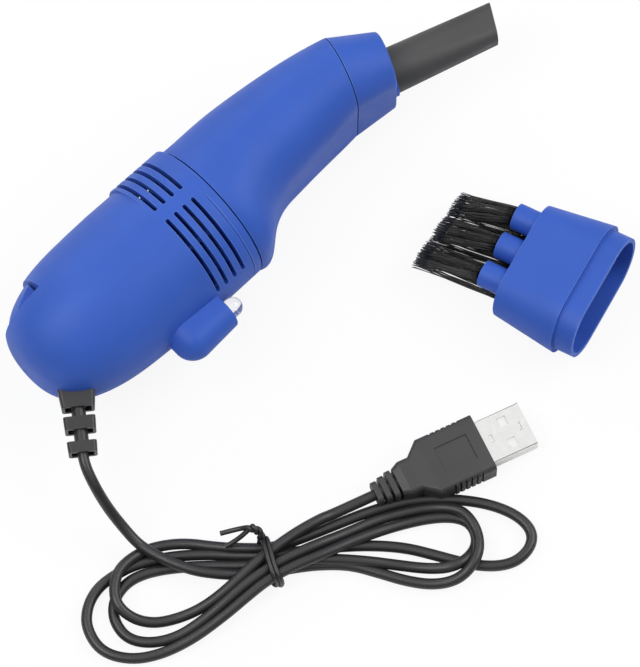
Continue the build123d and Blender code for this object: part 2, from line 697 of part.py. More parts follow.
front_rim_x = REAR_LENGTH + SEAM_GAP
mouth_up = Vector(sin(radians(MOUTH_TILT)), cos(radians(MOUTH_TILT)), 0) * (MOUTH_HEIGHT / 2)
mouth_back = Vector(*MOUTH_CENTRE) + mouth_up
mouth_belly = Vector(*MOUTH_CENTRE) - mouth_up
back_points = [Vector(REAR_LENGTH + x, FRONT_RIM_RADIUS - drop) for x, drop in FRONT_BACK_LINE]
belly_points = [Vector(REAR_LENGTH + x, rise - FRONT_RIM_RADIUS) for x, rise in FRONT_BELLY_LINE]
back_line = Edge.make_spline([Vector(front_rim_x, FRONT_RIM_RADIUS), *back_points, mouth_back])
belly_line = Edge.make_spline([Vector(front_rim_x, -FRONT_RIM_RADIUS), *belly_points, mouth_belly])


def front_ovals(steps, inset):
    """Plane, height, width and corner of ovals across the front shell, a given distance inside its skin."""
    ovals = []
    for step in range(steps + 1):
        share = step / FRONT_STEPS
        back = back_line.position_at(share * back_line.length, PositionMode.LENGTH)
        belly = belly_line.position_at(share * belly_line.length, PositionMode.LENGTH)
        across = back - belly
        middle = (back + belly) * 0.5
        plane = cross_plane(middle.X, middle.Y, degrees(atan2(across.X, across.Y)))
        half_width = FRONT_RIM_RADIUS + (MOUTH_WIDTH / 2 - FRONT_RIM_RADIUS) * share
        corner = FRONT_RIM_RADIUS + (MOUTH_CORNER - FRONT_RIM_RADIUS) * share ** 0.6
        corner = min(corner, 0.49 * across.length)
        ovals.append((plane, across.length - 2 * inset, 2 * (half_width - inset), corner - inset))
    return ovals


with BuildPart() as dust_space:
    for oval_plane, height, width, corner in front_ovals(FRONT_INNER_STEPS, FRONT_WALL):
        with BuildSketch(oval_plane):
            RectangleRounded(height, width, corner)
    with BuildSketch(mouth_plane(-SPIGOT_LENGTH - SOCKET_END_GAP)):
        RectangleRounded(
            SPIGOT_HEIGHT - 2 * SOCKET_LEDGE, SPIGOT_WIDTH - 2 * SOCKET_LEDGE, SPIGOT_CORNER - SOCKET_LEDGE
        )
    loft(ruled=True)

with BuildPart() as front_shell:
    for oval_plane, height, width, corner in front_ovals(FRONT_STEPS, 0.0):
        with BuildSketch(oval_plane):
            RectangleRounded(height, width, corner)
    loft()
    add(dust_space.part, mode=Mode.SUBTRACT)
    with BuildSketch(mouth_plane(0)):
        RectangleRounded(
            SPIGOT_HEIGHT + 2 * SPIGOT_FIT, SPIGOT_WIDTH + 2 * SPIGOT_FIT, SPIGOT_CORNER + SPIGOT_FIT
        )
    extrude(amount=-SPIGOT_LENGTH - SOCKET_END_GAP, mode=Mode.SUBTRACT)
save(front_shell, "front_shell")

# Collar and nozzle


def nose_place(x, y):
    """A place in the side outline, from the middle of the mouth."""
    return MOUTH_CENTRE[0] + x, MOUTH_CENTRE[1] + y


collar_front_plane = cross_plane(*nose_place(*COLLAR_FRONT), COLLAR_FRONT_TILT)


def nozzle_plane(distance):
    """A plane across the nozzle, a given distance in front of its root."""
    return cross_plane(*nose_place(*NOZZLE_ROOT), NOZZLE_TILT).offset(distance)


with BuildPart() as collar_space:
    with BuildSketch(mouth_plane(-SPIGOT_LENGTH)):
        RectangleRounded(
            SPIGOT_HEIGHT - 2 * SPIGOT_WALL, SPIGOT_WIDTH - 2 * SPIGOT_WALL, SPIGOT_CORNER - SPIGOT_WALL
        )
    with BuildSketch(mouth_plane(SEAM_GAP)):
        RectangleRounded(
            SPIGOT_HEIGHT - 2 * SPIGOT_WALL, SPIGOT_WIDTH - 2 * SPIGOT_WALL, SPIGOT_CORNER - SPIGOT_WALL
        )
    with BuildSketch(nozzle_plane(NOZZLE_FLANGE - NOZZLE_BURIED)):
        RectangleRounded(2 * NOZZLE_FLANGE_RADIUS + 0.4, 2 * NOZZLE_FLANGE_RADIUS + 1.0, NOZZLE_FLANGE_RADIUS)
    loft(ruled=True)

with BuildPart() as nozzle_collar:
    with BuildSketch(mouth_plane(SEAM_GAP)):
        RectangleRounded(MOUTH_HEIGHT, MOUTH_WIDTH, MOUTH_CORNER)
    with BuildSketch(collar_front_plane):
        RectangleRounded(COLLAR_FRONT_HEIGHT, COLLAR_FRONT_WIDTH, COLLAR_FRONT_CORNER)
    loft(ruled=True)
    collar_front_edges = nozzle_collar.faces().sort_by(Axis(row_point(0, 0), collar_front_plane.z_dir))[-1].edges()
    fillet(collar_front_edges, radius=COLLAR_ROUND)
    with BuildSketch(nozzle_plane(-NOZZLE_BURIED / 2)):
        Circle(NOZZLE_RING_RADIUS)
    extrude(amount=NOZZLE_BURIED / 2 + NOZZLE_RING_REACH)
    with BuildSketch(mouth_plane(SEAM_GAP)):
        RectangleRounded(SPIGOT_HEIGHT, SPIGOT_WIDTH, SPIGOT_CORNER)
    extrude(amount=-SPIGOT_LENGTH - SEAM_GAP)
    add(collar_space.part, mode=Mode.SUBTRACT)
    with BuildSketch(nozzle_plane(-NOZZLE_BURIED)):
        Circle(NOZZLE_ROOT_SIZE / 2 + NOZZLE_FIT)
    extrude(amount=2 * NOZZLE_BURIED, mode=Mode.SUBTRACT)
save(nozzle_collar, "nozzle_collar")


def nozzle_form(inset):
    """The nozzle's tapered form, from its round root to its flattened tip."""
    with BuildPart() as form:
        for distance, height, width, corner in (
            (-NOZZLE_BURIED, NOZZLE_ROOT_SIZE, NOZZLE_ROOT_SIZE, NOZZLE_ROOT_SIZE / 2 - 0.01),
            (NOZZLE_RING_REACH, NOZZLE_ROOT_SIZE, NOZZLE_ROOT_SIZE, NOZZLE_ROOT_SIZE / 2 - 0.01),
            (NOZZLE_LENGTH, NOZZLE_TIP_HEIGHT, NOZZLE_TIP_WIDTH, NOZZLE_TIP_CORNER),
            (NOZZLE_LENGTH + 4, NOZZLE_TIP_HEIGHT, NOZZLE_TIP_WIDTH, NOZZLE_TIP_CORNER),
        ):
            with BuildSketch(nozzle_plane(distance)):
                RectangleRounded(height - 2 * inset, width - 2 * inset, corner - inset)
        loft(ruled=True)
    return form.part


nozzle_skin = nozzle_form(0.0)
nozzle_bore = nozzle_form(NOZZLE_WALL)
tip_point = nozzle_plane(NOZZLE_LENGTH).origin
tip_lean = radians(NOZZLE_TILT + NOZZLE_CUT)

with BuildPart() as crevice_nozzle:
    add(nozzle_skin)
    with BuildSketch(nozzle_plane(-NOZZLE_BURIED)):
        Circle(NOZZLE_FLANGE_RADIUS)
    extrude(amount=NOZZLE_FLANGE - 0.2)
    add(nozzle_bore, mode=Mode.SUBTRACT)
    split(bisect_by=Plane(tip_point, z_dir=(cos(tip_lean), -sin(tip_lean), 0)), keep=Keep.BOTTOM)
save(crevice_nozzle, "crevice_nozzle")

# Cord gland: a neck in the housing's hole, then three tapered blocks on a core

with BuildPart() as gland_blocks:
    for start, length, wide, narrow in GLAND_BLOCKS:
        with BuildSketch(gland_plane(start)):
            RectangleRounded(wide, wide * GLAND_FLATNESS, GLAND_CORNER)
        with BuildSketch(gland_plane(start + length)):
            RectangleRounded(narrow, narrow * GLAND_FLATNESS, GLAND_CORNER)
        loft(ruled=True)
    add(rear_skin, mode=Mode.SUBTRACT)

gland_end = GLAND_BLOCKS[-1][0] + GLAND_BLOCKS[-1][1]
with BuildPart() as cord_gland:
    with BuildSketch(gland_plane(-GLAND_NECK_DEPTH)):
        Circle(GLAND_NECK_RADIUS)
    extrude(amount=GLAND_NECK_DEPTH + 1)
    with BuildSketch(gland_plane(0)):
        Circle(GLAND_CORE_RADIUS)
    extrude(amount=gland_end)
    add(gland_blocks.part)
    for start, length, wide, narrow in GLAND_BLOCKS:
        with BuildSketch(gland_plane(start + length)):
            with GridLocations(narrow - 2 * GLAND_POCKET_WALL - GLAND_POCKET[0], 1, 2, 1):
                Rectangle(GLAND_POCKET[0], narrow * GLAND_FLATNESS - 2 * GLAND_POCKET_WALL)
        extrude(amount=-GLAND_POCKET[1], mode=Mode.SUBTRACT)
    with BuildSketch(gland_plane(-GLAND_NECK_DEPTH)):
        Circle(GLAND_FLANGE_RADIUS)
    extrude(amount=-GLAND_FLANGE)
save(cord_gland, "cord_gland")

# Brush head on its lower flank, and its tufts

brush_lean = atan2((MOUTH_HEIGHT - BRUSH_REAR_HEIGHT) / 2, BRUSH_DEPTH)
brush_flat = heading_vector(BRUSH_HEADING)
brush_out = Vector(brush_flat.X * cos(brush_lean), brush_flat.Y * cos(brush_lean), sin(brush_lean))
brush_rim_point = Vector(*BRUSH_RIM, MOUTH_HEIGHT / 2 * cos(brush_lean))


def brush_plane(distance):
    """A plane across the brush head, a given distance in front of its rim, with local x along its width."""
    return Plane(brush_rim_point + brush_out * distance, heading_vector(BRUSH_HEADING + 90), brush_out)


with BuildPart() as brush_space:
    with BuildSketch(brush_plane(BRUSH_BACK - BRUSH_DEPTH)):
        RectangleRounded(
            BRUSH_REAR_WIDTH - 2 * BRUSH_WALL, BRUSH_REAR_HEIGHT - 2 * BRUSH_WALL, BRUSH_REAR_CORNER - BRUSH_WALL
        )
    for distance in (0.0, SPIGOT_LENGTH):
        with BuildSketch(brush_plane(distance)):
            RectangleRounded(
                SPIGOT_WIDTH - 2 * SPIGOT_WALL, SPIGOT_HEIGHT - 2 * SPIGOT_WALL, SPIGOT_CORNER - SPIGOT_WALL
            )
    loft(ruled=True)

tuft_rows = ((TUFT_ROWS / 2, UPPER_BOSS), (-TUFT_ROWS / 2, LOWER_BOSS))

with BuildPart() as brush_head:
    with BuildSketch(brush_plane(-BRUSH_DEPTH)):
        RectangleRounded(BRUSH_REAR_WIDTH, BRUSH_REAR_HEIGHT, BRUSH_REAR_CORNER)
    with BuildSketch(brush_plane(0)):
        RectangleRounded(MOUTH_WIDTH, MOUTH_HEIGHT, MOUTH_CORNER)
    loft(ruled=True)
    with BuildSketch(brush_plane(0)):
        RectangleRounded(SPIGOT_WIDTH, SPIGOT_HEIGHT, SPIGOT_CORNER)
    extrude(amount=SPIGOT_LENGTH)
    add(brush_space.part, mode=Mode.SUBTRACT)
    for row_y, boss in tuft_rows:
        with BuildSketch(brush_plane(-BRUSH_DEPTH)):
            with Locations((0, row_y)):
                with GridLocations(TUFT_PITCH, 1, TUFTS_IN_ROW, 1):
                    Circle(TUFT_BOSS_RADIUS)
        extrude(amount=-boss)
        with BuildSketch(brush_plane(-BRUSH_DEPTH - boss)):
            with Locations((0, row_y)):
                with GridLocations(TUFT_PITCH, 1, TUFTS_IN_ROW, 1):
                    Circle(TUFT_RADIUS + TUFT_FIT)
        extrude(amount=TUFT_SEAT, mode=Mode.SUBTRACT)
save(brush_head, "brush_head")

golden_turn = pi * (3.0 - sqrt(5.0))


def tuft_solid(plane, length, lift):
    """A disc of backing with bristles that fan out from it and lift off the table, none crossing another."""
    lean = length * sin(radians(BRISTLE_LEAN))
    strands = []
    for index in range(BRISTLES_IN_TUFT):
        radius = (TUFT_RADIUS - BRISTLE_SIZE) * sqrt((index + 0.5) / BRISTLES_IN_TUFT)
        x, y = radius * cos(index * golden_turn), radius * sin(index * golden_turn)
        tip = Vector(x * (BRISTLE_SPREAD - 1) - lean, -lift, length - BRISTLE_SLANT * x)
        with BuildSketch(Plane.XY.offset(-0.2), mode=Mode.PRIVATE) as foot:
            with Locations((x, y)):
                Rectangle(BRISTLE_SIZE, BRISTLE_SIZE)
        strands.append(Solid.extrude(foot.sketch.faces()[0], tip))
    with BuildPart() as tuft:
        Cylinder(TUFT_RADIUS, TUFT_SEAT, align=(Align.CENTER, Align.CENTER, Align.MAX))
        add(strands)
    return plane.location * tuft.part


tuft_number = 0
for row_y, boss, lift in ((*tuft_rows[0], 0.0), (*tuft_rows[1], LOWER_ROW_LIFT)):
    for place in range(TUFTS_IN_ROW):
        tuft_number += 1
        tuft_x = (place - (TUFTS_IN_ROW - 1) / 2) * TUFT_PITCH
        tuft_length = BRISTLE_TIP - boss - BRISTLE_SLANT * tuft_x
        boss_face = brush_plane(-BRUSH_DEPTH - boss)
        tuft_plane = Plane(boss_face.from_local_coords((tuft_x, row_y, 0)), boss_face.x_dir, brush_out * -1)
        with BuildPart() as bristle_tuft:
            add(tuft_solid(tuft_plane, tuft_length, lift))
        save(bristle_tuft, f"bristle_tuft_{tuft_number}")

# Hank: six half loops out from the waist in turn, right and left, then the strand to the plug

cord_radius = CORD_DIAMETER / 2
table_z = cord_radius + TABLE_GAP
under_z = cord_radius + TABLE_GAP + TIE_THICKNESS + TIE_CLEARANCE + 0.08
over_z = under_z + CORD_DIAMETER + STRAND_GAP
bridge_z = table_z + CORD_DIAMETER + STRAND_GAP + 0.05
hank_along = heading_vector(HANK_HEADING)
hank_across = heading_vector(HANK_HEADING + 90)
hank_point = Vector(*HANK_WAIST, 0)
last_v = 2 * STRAND_PITCH + 0.2

# Each half loop: side, reach, fullness, place at the waist coming in and going out, sag, when the place
# changes, height coming in and how far it is held, height going out and how far, height of the loop, turn
HANK_LOOPS = (
    (1, 44.0, 5.3, STRAND_PITCH, -STRAND_PITCH, 6.0, 0.0, under_z, 2.0, over_z, 29.0, table_z, -1),
    (-1, 47.0, 10.0, -STRAND_PITCH, 0.0, 9.0, 0.0, over_z, 16.0, under_z, 2.0, table_z, -1),
    (1, 54.0, 6.9, 0.0, 0.0, 9.2, 0.0, under_z, 2.0, over_z, 26.0, table_z, -1),
    (-1, 41.0, 7.0, 0.0, -STRAND_PITCH, 4.5, 0.0, over_z, 16.0, under_z, 2.0, table_z, -1),
    (1, 66.0, 8.8, -STRAND_PITCH, last_v, 10.7, 0.6, under_z, 2.0, under_z, 2.0, table_z, -1),
    (-1, 36.0, 6.0, last_v, STRAND_PITCH, 3.0, 0.0, under_z, 0.0, over_z, 2.0, bridge_z, 1),
)


def hank_place(along, across, height):
    """A point of the hank, from its place along and across it and its height."""
    return hank_point + hank_along * along + hank_across * across + Vector(0, 0, height)


def ease(share):
    """A smooth step from 0 to 1."""
    share = min(max(share, 0.0), 1.0)
    return share * share * (3.0 - 2.0 * share)


def half_loop(side, reach, full, v_in, v_out, sag, late, z_in, hold_in, z_out, hold_out, z_loop, turn):
    """Points of one half loop, from the waist round its end and nearly back."""
    points = []
    for step in range(LOOP_STEPS):
        angle = pi * step / LOOP_STEPS
        swing = sin(angle)
        along = side * reach * swing
        shift = v_in + (v_out - v_in) * ease((step / LOOP_STEPS - late) / (1.0 - late))
        across = turn * full * sin(2 * angle) * (1 + LOOP_FULLNESS * swing ** 2) + shift - sag * swing ** 2
        z_waist, hold = (z_in, hold_in) if step < LOOP_STEPS / 2 else (z_out, hold_out)
        drop = 18.0 if z_waist > bridge_z else 12.0
        height = z_waist + (z_loop - z_waist) * ease((abs(along) - hold) / drop)
        points.append(hank_place(along, across, height))
    return points


def biarc(start, start_way, end, end_way):
    """Two arcs that join two points smoothly, or one line when they lie straight."""
    gap = end - start
    both = start_way + end_way
    bend = 1.0 - start_way.dot(end_way)
    if bend < 1e-9 and gap.normalized().cross(start_way).length < 1e-6:
        return [Line(start, end)]
    if bend < 1e-9:
        reach = gap.dot(gap) / (4.0 * gap.dot(end_way))
    else:
        lean = gap.dot(both)
        reach = (sqrt(lean * lean + 2.0 * bend * gap.dot(gap)) - lean) / (2.0 * bend)
    middle = (start + start_way * reach + end - end_way * reach) * 0.5
    middle_way = (end - end_way * reach - start - start_way * reach).normalized()
    return [TangentArc(start, middle, tangent=start_way), TangentArc(middle, end, tangent=middle_way)]


plug_out = heading_vector(PLUG_HEADING)
plug_left = heading_vector(PLUG_HEADING + 90)
plug_point = Vector(*PLUG_ROOT, GRIP_HEIGHT / 2)
relief_length = RELIEF_RIBS * (RELIEF_RIB + RELIEF_GROOVE)
neck_start = -GRIP_LENGTH - SHOULDER_LENGTH
neck_end = neck_start - NECK_LENGTH
relief_start = neck_end - NECK_TAPER
plug_rear = plug_point + plug_out * (relief_start - relief_length)

start_way = (hank_along + hank_across * HANK_START_SLOPE).normalized()
hank_points = [hank_place(*HANK_START, table_z)]
hank_points.append(hank_points[0] + start_way * CORD_DIAMETER)
hank_points.append(hank_place(HANK_START[0] / 2, 6.4, table_z + 0.4))
for loop in HANK_LOOPS:
    hank_points.extend(half_loop(*loop))
hank_points.append(hank_place(0, STRAND_PITCH, over_z))
hank_points.append(hank_place(15.0, 8.3, over_z - 0.7))
hank_points.append(plug_rear - plug_out * CORD_DIAMETER)
hank_points.append(plug_rear)

hank_ways = [start_way, start_way]
for before, after in zip(hank_points[1:-3], hank_points[3:-1]):
    hank_ways.append((after - before).normalized())
hank_ways += [plug_out, plug_out]

with BuildPart() as cord_hank:
    with BuildLine() as hank_line:
        for index in range(len(hank_points) - 1):
            biarc(hank_points[index], hank_ways[index], hank_points[index + 1], hank_ways[index + 1])
    with BuildSketch(Plane(hank_points[0], z_dir=start_way)):
        Circle(cord_radius)
    sweep()
save(cord_hank, "cord_hank")

# Least gap between strands of the hank, measured along its centre line
hank_samples = []
hank_length = 0.0
for edge in hank_line.edges():
    hank_length += edge.length
    hank_samples.append(edge @ 0.25)
    hank_samples.append(edge @ 0.75)
least_gap = min(
    (one - other).length
    for index, one in enumerate(hank_samples)
    for other in hank_samples[index + 16:]
)
tightest = min(edge.radius for edge in hank_line.edges().filter_by(GeomType.CIRCLE))
print("hank: least gap", round(least_gap - CORD_DIAMETER, 2), "least radius", round(tightest, 2))
print("hank: length", round(hank_length), "volume", round(cord_hank.part.volume), round(pi * cord_radius ** 2 * hank_length))

# Lead from the gland down to the table and into the hank

gland_face = gland_point + gland_out * gland_end
lead_last = hank_points[0] - start_way * LEAD_LAST_RUN
lead_points = [gland_face, gland_face + gland_out * LEAD_FIRST_RUN]
lead_points += [Vector(*bend) for bend in LEAD_BENDS]
lead_points += [lead_last, hank_points[0]]
lead_radii = []
for before, corner, after in zip(lead_points[:-2], lead_points[1:-1], lead_points[2:]):
    half_turn = radians((corner - before).get_angle(after - corner)) / 2
    lead_radii.append(0.45 * min((corner - before).length, (after - corner).length) / tan(max(half_turn, 0.01)))
with BuildPart() as cord_lead:
    with BuildLine() as lead_line:
        FilletPolyline(*lead_points, radius=lead_radii)
    with BuildSketch(Plane(gland_face, z_dir=gland_out)):
        Circle(cord_radius)
    sweep()
save(cord_lead, "cord_lead")
lead_length = sum(edge.length for edge in lead_line.edges())
print("lead: radii", [round(radius, 1) for radius in lead_radii], "length", round(lead_length))
print("lead: volume", round(cord_lead.part.volume), round(pi * cord_radius ** 2 * lead_length))

# Twist tie: a flat band round the waist with two tails

tie_low = under_z - cord_radius - TIE_CLEARANCE
tie_high = over_z + cord_radius + TIE_CLEARANCE
tie_near = -STRAND_PITCH - cord_radius - 1.5 * TIE_CLEARANCE
tie_far = last_v + cord_radius + 1.5 * TIE_CLEARANCE
tie_middle = hank_place(-TIE_WIDTH / 2, (tie_near + tie_far) / 2, (tie_low + tie_high) / 2)
tie_span = (tie_far - tie_near, tie_high - tie_low)

with BuildPart() as cord_tie:
    with BuildSketch(Plane(tie_middle, hank_across, hank_along)):
        RectangleRounded(tie_span[0] + 2 * TIE_THICKNESS, tie_span[1] + 2 * TIE_THICKNESS, TIE_CORNER)
        RectangleRounded(*tie_span, TIE_CORNER - TIE_THICKNESS, mode=Mode.SUBTRACT)
    extrude(amount=TIE_WIDTH)
    tail_start = hank_place(0, tie_far - 0.5, tie_high + TIE_THICKNESS / 2)
    for tail in TIE_TAILS:
        with BuildLine():
            tail_line = Line(tail_start, hank_place(*tail))
        with BuildSketch(Plane(tail_start, z_dir=tail_line % 0)):
            Circle(TIE_TAIL_RADIUS)
        sweep(path=tail_line)
save(cord_tie, "cord_tie")

# Plug


def plug_plane(distance):
    """A plane across the plug, a given distance in front of the shell's root, with local y up."""
    return Plane(plug_point + plug_out * distance, plug_left, plug_out)


with BuildPart() as plug_grip:
    with BuildSketch(plug_plane(0)):
        RectangleRounded(GRIP_WIDTH, GRIP_HEIGHT, GRIP_ROUND)
    extrude(amount=-GRIP_LENGTH)
    with BuildSketch(plug_plane(-GRIP_LENGTH)):
        RectangleRounded(GRIP_WIDTH, GRIP_HEIGHT, GRIP_ROUND)
    with BuildSketch(plug_plane(neck_start)):
        RectangleRounded(NECK_WIDTH, NECK_HEIGHT, GRIP_ROUND)
    with BuildSketch(plug_plane(neck_end)):
        RectangleRounded(NECK_WIDTH, NECK_HEIGHT, GRIP_ROUND)
    with BuildSketch(plug_plane(relief_start)):
        RectangleRounded(RELIEF_WIDTH, RELIEF_HEIGHT, GRIP_ROUND)
    loft(ruled=True)
    with BuildSketch(plug_plane(relief_start)):
        Circle(RELIEF_CORE_RADIUS)
    extrude(amount=-relief_length)
    for rib in range(RELIEF_RIBS):
        shrink = 1.0 - (1.0 - RELIEF_END) * rib / (RELIEF_RIBS - 1)
        rib_start = relief_start - rib * (RELIEF_RIB + RELIEF_GROOVE) - RELIEF_GROOVE
        with BuildSketch(plug_plane(rib_start)):
            RectangleRounded(RELIEF_WIDTH * shrink, RELIEF_HEIGHT * shrink, GRIP_ROUND)
        extrude(amount=-RELIEF_RIB)
    with BuildSketch(plug_plane(0)):
        RectangleRounded(SHELL_WIDTH, SHELL_HEIGHT, SHELL_CORNER)
    extrude(amount=-SHELL_BURIED, mode=Mode.SUBTRACT)
    with BuildSketch(Plane(plug_point + Vector(0, 0, GRIP_HEIGHT / 2) - plug_out * GRIP_LENGTH / 2, plug_out)):
        Rectangle(GRIP_RECESS[0], GRIP_RECESS[1])
    extrude(amount=-GRIP_RECESS[2], mode=Mode.SUBTRACT)
    with BuildSketch(Plane(plug_point - plug_out * GRIP_LENGTH / 2, plug_out)):
        with GridLocations(GRIP_RIDGE_PITCH, GRIP_WIDTH, GRIP_RIDGES, 2):
            Rectangle(GRIP_RIDGE_CUT[0], 2 * GRIP_RIDGE_CUT[1])
    extrude(amount=GRIP_HEIGHT / 2, both=True, mode=Mode.SUBTRACT)
save(plug_grip, "plug_grip")

with BuildPart() as plug_shell:
    with BuildSketch(plug_plane(-SHELL_BURIED)):
        RectangleRounded(SHELL_WIDTH, SHELL_HEIGHT, SHELL_CORNER)
        RectangleRounded(
            SHELL_WIDTH - 2 * SHELL_WALL,
            SHELL_HEIGHT - 2 * SHELL_WALL,
            SHELL_CORNER - SHELL_WALL,
            mode=Mode.SUBTRACT,
        )
    extrude(amount=SHELL_BURIED + SHELL_LENGTH)
    with BuildSketch(Plane(plug_point + plug_out * SHELL_WINDOW_X, plug_out)):
        with GridLocations(1, SHELL_WINDOW_SPACING, 1, 2):
            Rectangle(SHELL_WINDOW, SHELL_WINDOW)
    extrude(amount=SHELL_HEIGHT, both=True, mode=Mode.SUBTRACT)
    # Three-sided slots that free the two spring tabs
    for place in SPRING_PLACES:
        with BuildSketch(Plane(plug_point + plug_out * place, plug_out)):
            Rectangle(SPRING_SIZE[0], SPRING_SIZE[1])
            with Locations((-SPRING_SLOT, 0)):
                Rectangle(SPRING_SIZE[0], SPRING_SIZE[1] - 2 * SPRING_SLOT, mode=Mode.SUBTRACT)
        extrude(amount=SHELL_HEIGHT, mode=Mode.SUBTRACT)
save(plug_shell, "plug_shell")

tongue_high = SHELL_HEIGHT / 2 - SHELL_WALL
tongue_length = SHELL_BURIED + SHELL_LENGTH - TONGUE_RECESS
with BuildPart() as plug_tongue:
    with BuildSketch(plug_plane(-SHELL_BURIED)):
        with Locations((0, tongue_high)):
            Rectangle(SHELL_WIDTH - 4 * SHELL_WALL, TONGUE_HEIGHT, align=(Align.CENTER, Align.MAX))
    extrude(amount=tongue_length)
save(plug_tongue, "plug_tongue")

with BuildPart() as plug_contacts:
    with BuildSketch(plug_plane(SHELL_LENGTH - TONGUE_RECESS - 1)):
        with Locations((0, tongue_high - TONGUE_HEIGHT)):
            with GridLocations(CONTACT_PITCH, 1, 4, 1):
                Rectangle(CONTACT[1], CONTACT[2], align=(Align.CENTER, Align.MAX))
    extrude(amount=-CONTACT[0])
save(plug_contacts, "plug_contacts")
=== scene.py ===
import random
from math import cos, pi, radians, sin, sqrt

import bpy
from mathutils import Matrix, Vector


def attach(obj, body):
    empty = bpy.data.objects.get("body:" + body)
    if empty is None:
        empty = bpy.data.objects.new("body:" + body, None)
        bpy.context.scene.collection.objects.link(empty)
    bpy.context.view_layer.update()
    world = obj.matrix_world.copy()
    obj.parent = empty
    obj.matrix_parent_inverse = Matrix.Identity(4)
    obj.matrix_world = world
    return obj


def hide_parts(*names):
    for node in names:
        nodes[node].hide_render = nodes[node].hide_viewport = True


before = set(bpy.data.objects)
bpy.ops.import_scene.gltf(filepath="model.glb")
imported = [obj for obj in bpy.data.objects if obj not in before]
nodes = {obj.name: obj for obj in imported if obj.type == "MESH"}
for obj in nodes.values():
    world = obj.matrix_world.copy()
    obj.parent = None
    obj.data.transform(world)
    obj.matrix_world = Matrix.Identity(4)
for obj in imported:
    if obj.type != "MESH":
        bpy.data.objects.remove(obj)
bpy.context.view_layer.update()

scene = bpy.context.scene
MM = 0.001


def metres(point):
    """A point given in millimetres, in metres."""
    return Vector(point) * MM


def add_object(name, data):
    """An object with this data, in the scene."""
    obj = bpy.data.objects.new(name, data)
    scene.collection.objects.link(obj)
    return obj


# Camera at the photograph's angle

CAMERA_AZIMUTH = radians(-43.2)
CAMERA_ELEVATION = radians(70.0)
CAMERA_DISTANCE = 1.5
CAMERA_TARGET = metres((-15.9, -8.2, 19.6))
CAMERA_LENS = 323.8
CAMERA_SENSOR = 36.0
CAMERA_NEAR = 0.1
CAMERA_FAR = 20.0

camera_back = Vector((
    sin(CAMERA_AZIMUTH) * cos(CAMERA_ELEVATION),
    -cos(CAMERA_AZIMUTH) * cos(CAMERA_ELEVATION),
    sin(CAMERA_ELEVATION),
))
camera_data = bpy.data.cameras.new("camera")
camera_data.lens = CAMERA_LENS
camera_data.sensor_width = CAMERA_SENSOR
camera_data.clip_start = CAMERA_NEAR
camera_data.clip_end = CAMERA_FAR
camera = add_object("camera", camera_data)
camera.location = CAMERA_TARGET + camera_back * CAMERA_DISTANCE
camera.rotation_euler = camera_back.to_track_quat("Z", "Y").to_euler()
scene.camera = camera

# Cord: one smooth line from the gland through the hank to the plug, in millimetres

